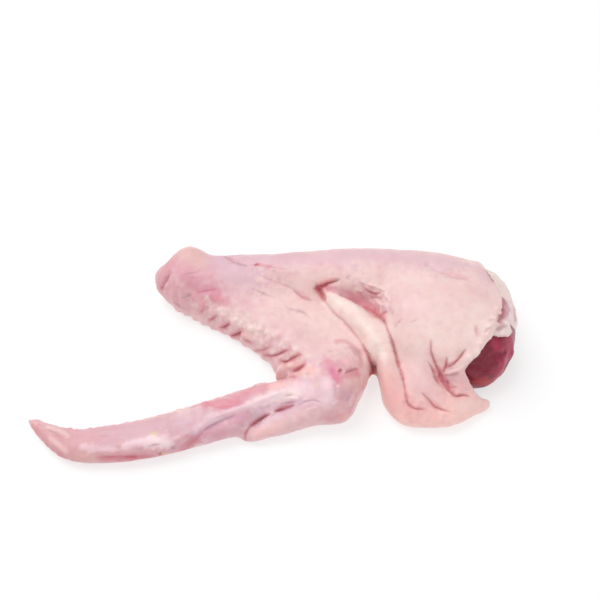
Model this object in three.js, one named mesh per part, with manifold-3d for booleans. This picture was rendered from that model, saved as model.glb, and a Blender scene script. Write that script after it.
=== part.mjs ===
// A raw three-joint duck wing lying folded in a Z on a flat surface, in millimetres, +Z up.
// The camera side is -Y. The upper arm runs along the back, from the shoulder at +X to the elbow at -X,
// the forearm comes forward to the wrist, and the hand goes back out to its tip at -X, beside the thumb.
// At +X are the loose shoulder skin with its flap, and the cut, where the muscle shows.
import * as THREE from "three";
import { mergeVertices } from "three/addons/utils/BufferGeometryUtils.js";
import Module from "manifold-3d";

const wasm = await Module();
wasm.setup();

// Driving dimensions
const CELL = 2.25; // edge of the grid cells that the skin is meshed with
const MUSCLE_CELL = 2.8;
const PRESSED = 1.2; // how far the soft underside is pressed flat where it rests
const GAP = 0.35; // clearance between neighbouring solids
const SKIN = 2.6; // skin and fat over the shoulder muscle
const SILVERSKIN = 1.5; // membrane over the muscle, beyond the skin's edge

const FIELD_LOW = [-97, -82, -8]; // the space that the fields are meshed in
const FIELD_HIGH = [84, 18, 36];

// Colours seen in the photograph
const SKIN_PINK = new THREE.Color(0.93, 0.78, 0.77);
const MEAT_RED = new THREE.Color(0.5, 0.13, 0.2);
const MEMBRANE_PALE = new THREE.Color(0.87, 0.76, 0.74);

// Fields are functions of a point, negative inside a body and close to the distance near its surface.
// The distance to an ellipsoid is taken as its normalized radius, less one, over the slope of that radius.
function ellipsoidDistance(u, v, w, a, b, c) {
  const reach = Math.sqrt((u / a) ** 2 + (v / b) ** 2 + (w / c) ** 2);
  const slope = Math.sqrt((u / a ** 2) ** 2 + (v / b ** 2) ** 2 + (w / c ** 2) ** 2);
  return slope < 1e-9 ? -Math.min(a, b, c) : (reach * (reach - 1)) / slope;
}

// The nearest place on a line of plan points: how far aside it is, on which segment, and how far along that.
function nearestOnLine(points, x, y) {
  const best = { aside: Infinity, segment: 0, share: 0 };
  for (let i = 0; i + 1 < points.length; i++) {
    const ex = points[i + 1].x - points[i].x;
    const ey = points[i + 1].y - points[i].y;
    const along = ((x - points[i].x) * ex + (y - points[i].y) * ey) / (ex * ex + ey * ey);
    const share = Math.min(1, Math.max(0, along));
    const square = (x - points[i].x - ex * share) ** 2 + (y - points[i].y - ey * share) ** 2;
    if (square >= best.aside) continue;
    best.aside = square;
    best.segment = i;
    best.share = share;
  }
  best.aside = Math.sqrt(best.aside);
  return best;
}

const STEPS_PER_STATION = 4;
function smoothLine(places) {
  const curve = new THREE.CatmullRomCurve3(places.map(([x, y, z = 0]) => new THREE.Vector3(x, y, z)));
  return curve.getPoints((places.length - 1) * STEPS_PER_STATION);
}

// A limb has an elliptical section that follows a smooth line through its stations.
// Each station is [x, y, height of the underside, width in plan, thickness along Z].
function limb(stations) {
  const line = smoothLine(stations);
  const girths = smoothLine(stations.map(([, , , wide, thick]) => [wide / 2, thick / 2]));
  return (x, y, z) => {
    const { aside, segment, share } = nearestOnLine(line, x, y);
    const under = THREE.MathUtils.lerp(line[segment].z, line[segment + 1].z, share);
    const halfWide = THREE.MathUtils.lerp(girths[segment].x, girths[segment + 1].x, share);
    const halfThick = THREE.MathUtils.lerp(girths[segment].y, girths[segment + 1].y, share);
    return ellipsoidDistance(aside, z - under - halfThick, 0, halfWide, halfThick, 1);
  };
}

// A lump is an ellipsoid with the given half sizes, turned by some degrees about Z.
function lump([cx, cy, cz], halves, turn = 0) {
  const cos = Math.cos(THREE.MathUtils.degToRad(turn));
  const sin = Math.sin(THREE.MathUtils.degToRad(turn));
  return (x, y, z) =>
    ellipsoidDistance((x - cx) * cos + (y - cy) * sin, (y - cy) * cos - (x - cx) * sin, z - cz, ...halves);
}

// Fields are joined with a fillet of about the given radius.
function softMin(a, b, radius) {
  const near = Math.max(radius - Math.abs(a - b), 0) / radius;
  return Math.min(a, b) - (near * near * radius) / 4;
}
const join = (radius, ...fields) => (x, y, z) =>
  fields.slice(1).reduce((sum, field) => softMin(sum, field(x, y, z), radius), fields[0](x, y, z));

// One field less another, with the edge rounded to about the given radius.
const without = (radius, body, gone) => (x, y, z) => -softMin(-body(x, y, z), gone(x, y, z), radius);

// A stroke sinks or, with a negative depth, raises the upper side along a line, and fades out at its ends.
function stroke(places, depth, wide) {
  const line = smoothLine(places);
  return (x, y, z) => {
    const { aside, segment, share } = nearestOnLine(line, x, y);
    if (aside > 3 * wide) return 0;
    const along = (segment + share) / (line.length - 1);
    const ends = Math.min(1, 5 * along, 5 * (1 - along));
    const upper = THREE.MathUtils.smoothstep(z, 2, 6);
    return depth * ends * upper * Math.exp(-((aside / wide) ** 2));
  };
}
const stroked = (body, strokes) => (x, y, z) =>
  strokes.reduce((sum, s) => sum + s(x, y, z), body(x, y, z));

// The mesh of a field's zero surface: one vertex in each grid cell that the surface crosses, and one quad,
// as two triangles, across each grid edge that it crosses.
function meshField(field, low, high, cell) {
  const count = low.map((v, i) => Math.ceil((high[i] - v) / cell) + 1);
  const index = (i, j, k) => (k * count[1] + j) * count[0] + i;
  const values = new Float32Array(count[0] * count[1] * count[2]);
  const eachNode = (visit, margin = 0) => {
    for (let k = 0; k < count[2] - margin; k++)
      for (let j = 0; j < count[1] - margin; j++)
        for (let i = 0; i < count[0] - margin; i++) visit(i, j, k);
  };
  eachNode((i, j, k) => {
    values[index(i, j, k)] = field(low[0] + i * cell, low[1] + j * cell, low[2] + k * cell);
  });
  openTouchingCorners(values, index, eachNode);

  const corners = [0, 1, 2, 3, 4, 5, 6, 7].map((c) => [c & 1, (c >> 1) & 1, c >> 2]);
  const vertexOf = new Int32Array(values.length).fill(-1);
  const positions = [];
  eachNode((i, j, k) => {
    const at = corners.map(([a, b, c]) => values[index(i + a, j + b, k + c)]);
    const sum = new THREE.Vector3();
    let crossings = 0;
    for (let c = 0; c < 8; c++)
      for (const bit of [1, 2, 4]) {
        const d = c | bit;
        if (d === c || at[c] < 0 === at[d] < 0) continue;
        const from = new THREE.Vector3(...corners[c]);
        sum.add(from.lerp(new THREE.Vector3(...corners[d]), at[c] / (at[c] - at[d])));
        crossings++;
      }
    if (!crossings) return;
    vertexOf[index(i, j, k)] = positions.length;
    const start = sum.divideScalar(crossings).add(new THREE.Vector3(i, j, k)).multiplyScalar(cell);
    positions.push(start.add(new THREE.Vector3(...low)));
  }, 1);

  const quads = [];
  const axes = [[1, 0, 0], [0, 1, 0], [0, 0, 1]];
  eachNode((i, j, k) => {
    axes.forEach((axis, a) => {
      const here = values[index(i, j, k)] < 0;
      const there = values[index(i + axis[0], j + axis[1], k + axis[2])] < 0;
      if (here === there) return;
      const b = axes[(a + 1) % 3];
      const c = axes[(a + 2) % 3];
      const around = [[0, 0], [1, 0], [1, 1], [0, 1]].map(([s, t]) => {
        const cellBehind = [i, j, k].map((v, n) => v - s * b[n] - t * c[n]);
        return vertexOf[index(...cellBehind)];
      });
      quads.push(here ? around : around.reverse());
    });
  }, 1);
  evenOut(positions, quads);
  const shorterHalves = ([p, q, r, s]) =>
    positions[p].distanceTo(positions[r]) < positions[q].distanceTo(positions[s])
      ? [p, q, r, p, r, s]
      : [p, q, s, q, r, s];
  return { positions, triangles: quads.flatMap(shorterHalves) };
}

// Moves each vertex towards the middle of its neighbours and a little less far back, so that nothing shrinks.
function evenOut(positions, quads) {
  for (const share of [0.6, -0.5, 0.6, -0.5, 0.6, -0.5]) {
    const sums = positions.map(() => new THREE.Vector3());
    const counts = new Uint16Array(positions.length);
    for (const quad of quads)
      quad.forEach((v, c) => {
        sums[v].add(positions[quad[(c + 1) % 4]]).add(positions[quad[(c + 3) % 4]]);
        counts[v] += 2;
      });
    positions.forEach((v, n) => v.lerp(sums[n].divideScalar(counts[n]), share));
  }
}

// Where only two opposite corners of a grid face are inside, the surface would touch itself, so the shallower
// of the two is moved out until no face is left like that.
function openTouchingCorners(values, index, eachNode) {
  const justOutside = 0.01;
  const faces = [[[1, 0, 0], [0, 1, 0]], [[0, 1, 0], [0, 0, 1]], [[0, 0, 1], [1, 0, 0]]];
  let moved = 1;
  while (moved) {
    moved = 0;
    eachNode((i, j, k) => {
      for (const [u, v] of faces) {
        const face = [[0, 0], [1, 0], [1, 1], [0, 1]].map(([s, t]) =>
          index(i + s * u[0] + t * v[0], j + s * u[1] + t * v[1], k + s * u[2] + t * v[2]),
        );
        const inside = face.map((n) => values[n] < 0);
        if (inside[0] !== inside[2] || inside[1] !== inside[3] || inside[0] === inside[1]) continue;
        const pair = inside[0] ? [face[0], face[2]] : [face[1], face[3]];
        values[values[pair[0]] > values[pair[1]] ? pair[0] : pair[1]] = justOutside;
        moved++;
      }
    }, 1);
  }
}

// Solids: closed meshes that can be joined and cut.
function solidOf(geometry) {
  const bare = new THREE.BufferGeometry().setAttribute("position", geometry.getAttribute("position").clone());
  if (geometry.index) bare.setIndex(geometry.index.clone());
  const merged = mergeVertices(bare, 1e-4);
  return new wasm.Manifold(
    new wasm.Mesh({
      numProp: 3,
      vertProperties: merged.attributes.position.array,
      triVerts: new Uint32Array(merged.index.array),
    }),
  );
}

const UNDER_TABLE = 3; // nothing is meshed deeper than this below the resting plane
function fieldSolid(field, cell) {
  const floored = (x, y, z) => Math.max(field(x, y, z), -UNDER_TABLE - z);
  const { positions, triangles } = meshField(floored, FIELD_LOW, FIELD_HIGH, cell);
  const geometry = new THREE.BufferGeometry().setFromPoints(positions).setIndex(triangles);
  return solidOf(geometry);
}

function blockSolid(low, high) {
  const size = high.map((v, i) => v - low[i]);
  const block = new THREE.BoxGeometry(...size);
  block.translate(...low.map((v, i) => v + size[i] / 2));
  return solidOf(block);
}

// An upright prism over a closed plan outline
function prismSolid(corners, low, high) {
  const outline = new THREE.Shape(corners.map(([x, y]) => new THREE.Vector2(x, y)));
  const prism = new THREE.ExtrudeGeometry(outline, { depth: high - low, bevelEnabled: false });
  prism.translate(0, 0, low);
  return solidOf(prism);
}

function meshOf(name, solid, material) {
  const { vertProperties, triVerts, numProp } = solid.getMesh();
  const geometry = new THREE.BufferGeometry();
  geometry.setAttribute("position", new THREE.InterleavedBufferAttribute(
    new THREE.InterleavedBuffer(vertProperties, numProp), 3, 0,
  ));
  geometry.setIndex(new THREE.BufferAttribute(triVerts, 1));
  geometry.computeVertexNormals();
  const mesh = new THREE.Mesh(geometry, material);
  mesh.name = name;
  return mesh;
}

// Bones and flesh. Undersides below zero are the part that is pressed flat.
const upperArm = limb([
  [-39.5, 0.6, -PRESSED, 17.5, 20.5],
  [-27, -0.6, -PRESSED, 20, 22.5],
  [-6, -1.1, -PRESSED, 22, 23.5],
  [16, -1.1, -PRESSED, 24, 25.5],
  [36, -3, -PRESSED, 26, 26.5],
  [50, -4.5, -PRESSED, 27, 26],
  [60, -7.5, -PRESSED, 26, 25],
]);
const elbow = join(
  3,
  lump([-43.6, 1.2, 9], [9.4, 9.2, 9.6], -42),
  lump([-51.3, 2.2, 7.8], [4.4, 4.6, 6.4]),
  lump([-41.8, 7, 14], [6.4, 4.8, 6.9]),
);
const forearm = limb([
  [-41, 1.5, -PRESSED, 19, 19],
  [-30, -4.5, -PRESSED, 19.5, 18],
  [-19, -12, -PRESSED, 20, 17.5],
  [-9, -20, -PRESSED, 20, 17.5],
  [0, -29.5, -PRESSED, 19.5, 17],
  [8, -39.5, -PRESSED, 18, 17],
  [12, -46, -PRESSED, 18, 17],
]);
const featherEdge = limb([
  [-45.6, 1.2, -0.8, 8, 8],
  [-35.6, -7.3, -0.8, 8.5, 7.5],
  [-25.8, -13.7, -0.8, 8.5, 7.2],
  [-16, -20.8, -0.8, 8.5, 7],
  [-5.5, -30, -0.8, 8, 7.5],
]);
const web = limb([
  [-22, -5, -PRESSED, 16, 16.5],
  [-4, -11, -PRESSED, 17, 17],
  [7, -21, -PRESSED, 16, 16.5],
  [15, -32, -PRESSED, 13, 15.5],
  [18.7, -39.5, -PRESSED, 10, 14.5],
]);
const creaseFloor = limb([
  [6, -10, -PRESSED, 14, 13],
  [15, -19, -PRESSED, 14, 13],
  [21.5, -29, -PRESSED, 12, 12],
]);
const foldFloor = limb([
  [20, -12, -PRESSED, 18, 15],
  [30, -22, -PRESSED, 18, 14],
  [36, -36, -PRESSED, 14, 10],
]);
const wrist = lump([11.3, -46.5, 7.6], [10.6, 10.6, 9]);
const wristCorner = lump([11.2, -53, 5.2], [7.2, 6, 6.4]);
const wristCrook = lump([-4.6, -34.5, 4], [5.4, 6, 5]);
const hand = limb([
  [11, -48, -PRESSED, 17, 15],
  [-4, -50.5, -PRESSED, 16, 12.5],
  [-20, -55, -PRESSED, 16, 11.5],
  [-35, -60.3, -PRESSED, 15.5, 10.5],
  [-50, -65, -1, 15, 10],
  [-64, -67.2, -1, 14, 9.5],
  [-75, -66.8, -0.8, 12, 8],
  [-84, -62, -0.5, 8, 6],
  [-92, -56.2, -0.2, 3, 4],
]);
const thumb = limb([
  [9, -52.5, -PRESSED, 9, 11],
  [0, -56.6, -0.8, 8.5, 9.5],
  [-8.5, -60, -0.8, 7, 8],
  [-15, -62.6, -0.6, 4.5, 6],
  [-18.5, -64.4, -0.5, 2.6, 4],
]);
const roll = limb([
  [8, -10, 7, 5, 11],
  [13.5, -15.5, 4, 9, 15],
  [21, -24, 0.5, 12, 19],
  [26, -32.5, -PRESSED, 12, 19],
  [29, -40.2, -PRESSED, 11, 16.5],
  [31.5, -47.5, -PRESSED, 10.5, 13],
  [37, -54, -PRESSED, 11, 9.5],
]);
const cleft = limb([
  [26.4, -37.6, -20, 1.6, 60],
  [25.7, -45, -20, 4.2, 60],
  [24.6, -51.5, -20, 9.2, 60],
  [24.4, -58, -20, 16, 60],
]);
const shoulder = lump([49.5, -21, 7.5], [25, 24, 20.5]);
const flapSlope = lump([45, -42, 3], [15, 14, 12]);
const flap = limb([
  [34, -49, -0.8, 12, 9.5],
  [41, -53, -0.8, 14, 9],
  [50, -53.5, -0.8, 13, 8.5],
  [57.5, -51.5, -0.8, 9, 7.5],
  [64.2, -50.4, -0.4, 4.5, 5],
]);
const muscle = join(
  4,
  lump([58.2, -23, 8.5], [19, 21.5, 14.2]),
  lump([64.6, -10, 8], [12.1, 14, 11.5]),
  lump([61.8, -33, 5.2], [10.4, 11, 8.2]),
);

// Feather pits leave a row of swellings along the forearm's rear edge.
const SWELLINGS = 9;
const rearEdge = new THREE.CatmullRomCurve3(
  smoothLine([[-47.3, -0.5], [-37.5, -8.6], [-28, -14.6], [-18, -21.2], [-8.5, -30]]),
);
const swellings = Array.from({ length: SWELLINGS }, (_, i) => {
  const { x, y } = rearEdge.getPointAt((i + 0.5) / SWELLINGS);
  return lump([x, y, 3.4], [2.9, 4.8, 3.8], -52);
});

// The skin's cut edge at the shoulder in plan, from the back round to the flap
const SKIN_EDGE = [
  [64, 12], [65.8, 4], [66.8, -1], [68.3, -6.5], [70, -12.5], [71, -18], [70.3, -23.5], [68.3, -29],
  [65.9, -34], [62.2, -38.6], [58.7, -41.8], [55.2, -44.6], [58, -47.3], [61, -49], [66.5, -49.5],
];
const MEMBRANE_CORNERS = 9; // how many of those the membrane meets, from the back

// Folds of the upper side: beside the roll, above the thumb, along the web, and into the flap
const folds = [
  stroke([[2, -6.5], [8.5, -13.2], [15.3, -21.4], [20.4, -29], [23.6, -36], [25.6, -43.5]], 1.3, 2.6),
  stroke([[9, -8], [16, -11.5], [23.5, -15], [29.3, -21.5], [32, -29], [33.7, -38], [35.3, -48]], 0.9, 2.6),
  stroke([[-20, -61.5], [-13, -59], [-5, -55.2], [3, -53]], 2.4, 1.7),
  stroke([[-34, 4], [-24, -1], [-8, -9], [2, -15]], 1, 2.4),
  stroke([[44, -42], [48, -48], [53, -51]], 2, 2.2),
];

const bones = join(5, upperArm, elbow, forearm, web, wrist, wristCorner, wristCrook);
const edged = join(2.5, bones, creaseFloor, foldFloor, featherEdge, hand);
const draped = join(4, shoulder, flapSlope, flap, (x, y, z) => muscle(x, y, z) - SKIN);
const rolled = join(3, join(4, edged, draped), roll, thumb);
const parted = without(1.5, rolled, cleft);
const covered = stroked(join(1.2, parted, ...swellings), folds);

// Solids, trimmed at the resting plane. A knife cut ends the skin, and the muscle has room under it.
const underTable = blockSolid([-200, -200, -40], [200, 200, 0]);
const grown = (by) => fieldSolid((x, y, z) => muscle(x, y, z) - by, MUSCLE_CELL);
const muscleRoom = grown(GAP);
const muscleSolid = grown(0).subtract(underTable);
const beyondCut = prismSolid([...SKIN_EDGE, [95, -40], [95, 12]], -10, 60);
const skinSolid = fieldSolid(covered, CELL).subtract(underTable).subtract(muscleRoom).subtract(beyondCut);

// The membrane lies over the muscle beyond the skin's edge and ends clear of the resting plane.
const besideSkin = SKIN_EDGE.slice(0, MEMBRANE_CORNERS).map(([x, y]) => [x + 2 * GAP, y]);
const membraneHem = [[69.5, -33.4], [71.8, -31.4], [75, -27.5], [79, -24], [86, -21], [95, -19]];
const membraneRegion = prismSolid([...besideSkin, ...membraneHem, [95, 12]], 2, 60);
const membraneSolid = grown(GAP + SILVERSKIN).subtract(muscleRoom).intersect(membraneRegion);

const finish = (color, roughness) => new THREE.MeshStandardMaterial({ color, roughness, metalness: 0 });
const wing = new THREE.Group();
wing.add(
  meshOf("skin", skinSolid, finish(SKIN_PINK, 0.45)),
  meshOf("shoulder_muscle", muscleSolid, finish(MEAT_RED, 0.35)),
  meshOf("silverskin", membraneSolid, finish(MEMBRANE_PALE, 0.3)),
);

// The origin goes to the middle of the bounding box, on the resting plane.
const middle = new THREE.Box3().setFromObject(wing).getCenter(new THREE.Vector3());
for (const mesh of wing.children) mesh.geometry.translate(-middle.x, -middle.y, 0);

export default wing;
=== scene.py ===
"""A raw whole duck wing lying folded in a Z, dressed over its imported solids.

Lines and spots are given as places in a square picture of 600 by 600, seen by the scene's own camera,
and are laid on the surface that the camera sees there. Lengths are in millimetres until they meet Blender.
"""

import math

import bmesh
import bpy
import numpy as np
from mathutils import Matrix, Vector, noise
from mathutils.bvhtree import BVHTree


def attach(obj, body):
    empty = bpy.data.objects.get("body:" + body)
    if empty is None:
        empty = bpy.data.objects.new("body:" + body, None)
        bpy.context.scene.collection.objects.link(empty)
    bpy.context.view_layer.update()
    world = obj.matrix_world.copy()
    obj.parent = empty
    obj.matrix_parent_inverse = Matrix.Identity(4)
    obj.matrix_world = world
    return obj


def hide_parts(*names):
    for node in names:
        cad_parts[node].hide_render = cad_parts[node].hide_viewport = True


MM = 0.001
FLOOR_GAP = 0.02

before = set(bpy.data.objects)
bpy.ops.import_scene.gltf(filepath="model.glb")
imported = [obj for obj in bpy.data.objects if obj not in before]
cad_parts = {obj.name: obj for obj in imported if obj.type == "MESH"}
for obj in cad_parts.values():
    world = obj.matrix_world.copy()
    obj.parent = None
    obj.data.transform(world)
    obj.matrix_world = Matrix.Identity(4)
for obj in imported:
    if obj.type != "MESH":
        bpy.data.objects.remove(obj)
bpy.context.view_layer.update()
scene = bpy.context.scene

# The camera: where it looks on the resting plane, how steeply, and from how far
PICTURE = 600
LENS = 50.0
SENSOR = 36.0
ELEVATION = math.radians(48.0)
SIGHT = Vector((6.90, 30.60, 0.0)) * MM
DISTANCE = 321.75 * MM


def make_camera():
    camera = bpy.data.cameras.new("camera")
    camera.lens = LENS
    camera.sensor_width = SENSOR
    camera.clip_start = 0.01
    camera.clip_end = 10.0
    holder = bpy.data.objects.new("camera", camera)
    holder.location = SIGHT + DISTANCE * Vector((0, -math.cos(ELEVATION), math.sin(ELEVATION)))
    holder.rotation_euler = (math.pi / 2 - ELEVATION, 0, 0)
    scene.collection.objects.link(holder)
    scene.camera = holder
    bpy.context.view_layer.update()
    return holder


camera = make_camera()


def sight_line(place):
    """The direction from the camera through a place in the picture."""
    reach = SENSOR / LENS / PICTURE
    across = (place[0] - PICTURE / 2) * reach
    up = (PICTURE / 2 - place[1]) * reach
    return (camera.matrix_world.to_3x3() @ Vector((across, up, -1.0))).normalized()


def smooth_line(places, spacing):
    """Evenly spaced places on a smooth line through the given ones."""
    points = [np.array(p, float) for p in places]
    points = [2 * points[0] - points[1], *points, 2 * points[-1] - points[-2]]
    line = []
    for a, b, c, d in zip(points, points[1:], points[2:], points[3:]):
        steps = max(int(np.linalg.norm(c - b) / spacing), 1)
        for t in np.arange(steps) / steps:
            bend = (b * 2) + (c - a) * t + (2 * a - 5 * b + 4 * c - d) * t**2
            line.append((bend + (3 * b - a - 3 * c + d) * t**3) / 2)
    line.append(points[-2])
    return line


class Surface:
    """A mesh being worked on: its points in millimetres, and what the camera sees of it."""

    def __init__(self, mesh):
        self.mesh = mesh
        self.points = read(mesh.vertices, "co").reshape(-1, 3) / MM
        self.look()

    def look(self):
        """Brings the mesh up to the points, and the normals and the sight tree up to the mesh."""
        self.mesh.vertices.foreach_set("co", (self.points * MM).astype(np.float32).ravel())
        self.mesh.update()
        self.normals = read(self.mesh.vertices, "normal").reshape(-1, 3)
        corners = [p.vertices[:] for p in self.mesh.polygons]
        self.tree = BVHTree.FromPolygons(self.points.tolist(), corners)

    def seen_at(self, place):
        """The point of the surface that the camera sees at a place in the picture."""
        eye = camera.location / MM
        sight = sight_line(place)
        hit = self.tree.ray_cast(eye, sight)[0]
        if hit is None:
            passing = eye - sight * ((eye.z - 5.0) / sight.z)
            hit = self.tree.find_nearest(passing)[0]
        return np.array(hit)

    def drawn(self, places):
        """A line over the surface, through the places in the picture."""
        if len(places) == 1:
            return np.array([self.seen_at(places[0])])
        return np.array([self.seen_at(p) for p in smooth_line(places, 1.0)])

    def make_ragged(self):
        """Readies the unevenness that the edges of the painted tones follow."""
        self.ragged = waves(self.points, 2.0, 2, 71.0)

    def near(self, line, wide):
        """The points near a line: which, how many widths aside, and how far along the line from 0 to 1."""
        reach = 3 * wide
        box = (self.points > line.min(0) - reach) & (self.points < line.max(0) + reach)
        which = np.flatnonzero(box.all(1))
        gaps = np.linalg.norm(self.points[which][:, None] - line[None], axis=2)
        nearest = gaps.argmin(1)
        aside = gaps.min(1) / wide
        along = nearest / max(len(line) - 1, 1)
        close = aside < 3
        return which[close], aside[close], along[close]


def read(items, name):
    """A three-part property of every vertex, in one flat array."""
    values = np.zeros(len(items) * 3, np.float32)
    items.foreach_get(name, values)
    return values.astype(float)


def profile(aside, along, count, sharp):
    """How strong a stroke is at each point. A sharp one narrows and thins out towards both of its ends."""
    if not sharp:
        return np.exp(-(aside**2))
    ends = np.sin(np.pi * along) ** 0.6 if count > 1 else 1.0
    return np.exp(-1.6 * aside / (0.3 + 0.7 * ends)) * (0.3 + 0.7 * ends)


def press(surface, places, depth, wide, sharp=False):
    """Sinks the surface along a line, or raises it where the depth is negative."""
    line = surface.drawn(places)
    which, aside, along = surface.near(line, wide)
    amount = depth * profile(aside, along, len(line), sharp)
    surface.points[which] -= surface.normals[which] * amount[:, None]


def paint(surface, colours, places, tone, wide, strength, sharp=False):
    """Mixes a tone into the surface's colours along a line or round a spot, with a ragged edge."""
    line = surface.drawn(places)
    which, aside, along = surface.near(line, wide)
    aside = aside * np.clip(1 + 0.6 * surface.ragged[which], 0.3, 2)
    if not sharp:
        aside = aside**1.5
    share = np.clip(strength * profile(aside, along, len(line), sharp), 0, 1)[:, None]
    colours[which] = colours[which] * (1 - share) + np.array(tone) * share


def mottle(surface, colours, places, tone, wide, size, strength, seed):
    """Mixes a tone in as blotches of the given size, in a band along a line."""
    line = surface.drawn(places)
    which, aside, _ = surface.near(line, wide)
    cloud = waves(surface.points[which], size, 2, seed)
    share = (np.clip(2 * cloud, 0, 1) * np.exp(-(aside**4)) * strength)[:, None]
    colours[which] = colours[which] * (1 - share) + np.array(tone) * share


def waves(points, size, octaves=3, seed=0.0):
    """Smooth noise from about -1 to 1 at each point, with features of the given size."""
    shift = Vector((seed, seed * 0.7, -seed))
    return np.array([noise.fractal(Vector(p) / size + shift, 0.8, 2.0, octaves) for p in points])


def merged_copy(node, name):
    """A new object with a CAD node's shape, its loose triangles merged."""
    shape = bmesh.new()
    shape.from_mesh(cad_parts[node].data)
    bmesh.ops.remove_doubles(shape, verts=shape.verts, dist=0.01 * MM)
    mesh = bpy.data.meshes.new(name)
    shape.to_mesh(mesh)
    shape.free()
    made = bpy.data.objects.new(name, mesh)
    scene.collection.objects.link(made)
    return made


def refined(node, name, voxel, rounds, levels=2):
    """A fine, even, softened copy of a CAD node."""
    made = merged_copy(node, name)
    made.modifiers.new("soften", "SUBSURF").levels = levels
    even = made.modifiers.new("even", "REMESH")
    even.mode = "VOXEL"
    even.voxel_size = voxel * MM
    settle = made.modifiers.new("settle", "SMOOTH")
    settle.factor = 0.5
    settle.iterations = rounds
    bpy.context.view_layer.update()
    shaped = made.evaluated_get(bpy.context.evaluated_depsgraph_get())
    mesh = bpy.data.meshes.new_from_object(shaped)
    made.modifiers.clear()
    made.data = mesh
    mesh.name = name
    mesh.materials.clear()
    mesh.polygons.foreach_set("use_smooth", [True] * len(mesh.polygons))
    return made


def store_colours(mesh, colours):
    """Keeps the point colours as the mesh's tint attribute."""
    tint = mesh.attributes.new("tint", "FLOAT_COLOR", "POINT")
    full = np.column_stack([np.clip(colours, 0, 1), np.ones(len(colours))])
    tint.data.foreach_set("color", full.astype(np.float32).ravel())


def linear(red, green, blue):
    """A screen colour, each part from 0 to 255, as Blender's linear colour."""
    parts = [c / 255 for c in (red, green, blue)]
    return tuple(c / 12.92 if c <= 0.04045 else ((c + 0.055) / 1.055) ** 2.4 for c in parts)


# Tones of the raw skin and the meat
SKIN_PALE = linear(240, 209, 205)
SKIN_PINK = linear(228, 190, 192)
SKIN_LILAC = linear(218, 182, 196)
SKIN_ROSE = linear(216, 158, 168)
SKIN_CREAM = linear(246, 224, 217)
SKIN_TAN = linear(226, 184, 176)
SALMON = linear(240, 184, 178)
PEACH = linear(254, 206, 199)
BRUISE_AND_SHADE = linear(222, 134, 162)
# A bruised pink, also used as painted shade under the shoulder skin's overhang and under the hand's ridge
ORCHID = linear(214, 100, 144)
HOT_PINK = linear(222, 132, 150)
MAUVE = linear(198, 144, 168)
# A flushed pink of the skin, also used as painted shade under overhangs, under the hand's ridge and in
# hollows
FLUSH_AND_SHADE = linear(210, 130, 140)
SHADE = linear(184, 142, 154)
OLIVE = linear(150, 122, 108)
FOLD_RED = linear(196, 58, 70)
PIT_RED = linear(180, 50, 72)
PIT_DARK = linear(120, 22, 40)
# Pale fat, also used for painted highlights on raised folds, the hand's ridge and small spots
FAT_WHITE_AND_HIGHLIGHT = linear(249, 226, 227)
FAT_LILAC_AND_HIGHLIGHT = linear(243, 213, 221)
SPECK_BROWN = linear(150, 92, 58)
SPECK_YELLOW = linear(222, 200, 150)
MEAT_DARK = linear(122, 18, 44)
MEAT_LIGHT = linear(176, 50, 84)
MEAT_WARM = linear(176, 52, 54)
MEMBRANE_PALE = linear(240, 220, 214)
MEMBRANE_RED = linear(198, 116, 130)
MEMBRANE_MAUVE = linear(196, 140, 160)

# Broad forms of the skin: places, depth (raised where it is negative) and half width
BROAD_FORMS = [
    ([(330, 297), (346, 309), (362, 325), (374, 346), (383, 370), (391, 398)], -0.6, 4.4),
    ([(370, 349), (376, 361), (380, 371)], -0.5, 1.7),
    ([(330, 289), (344, 292), (358, 298), (371, 306), (381, 315)], 0.7, 1.7),
    ([(438, 352), (448, 351), (457, 347)], -0.6, 2.4),
    ([(452, 363), (468, 358), (481, 352)], -0.6, 1.8),
    ([(441, 377), (446, 383)], 1.1, 1.8),
    ([(372, 297), (380, 299)], 0.6, 1.8),
    ([(238, 272), (260, 281), (280, 288)], -0.4, 1.6),
    ([(428, 264), (437, 269), (446, 272), (456, 276), (466, 277), (473, 280)], 0.8, 1.3),
    ([(252, 437), (272, 430), (300, 421), (325, 414)], -0.6, 2.4),
    ([(284, 391), (256, 402), (231, 411), (210, 417), (194, 430), (181, 439)], -0.7, 1.3),
    ([(232, 417), (216, 424), (203, 431), (192, 439), (182, 447)], 0.6, 1.2),
    ([(150, 441), (166, 443)], -0.6, 2.2),
    ([(336, 374)], 0.4, 3.0),
    ([(327, 388)], -0.5, 2.8),
    ([(347, 361)], -0.5, 1.4),
    ([(357, 354)], 0.6, 1.8),
    ([(344, 398), (352, 393)], 0.6, 1.4),
    ([(168, 276), (163, 284), (161, 290)], 0.9, 1.2),
    ([(190, 262), (204, 272)], 0.3, 3.0),
    ([(256, 384), (263, 382)], -1.7, 1.6),
    ([(270, 385)], 0.9, 1.2),
    ([(204, 403)], -0.4, 1.0),
    ([(47, 427), (57, 430), (67, 434)], -0.5, 0.9),
    ([(50, 438), (58, 445), (66, 452)], -0.5, 0.9),
]
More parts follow.
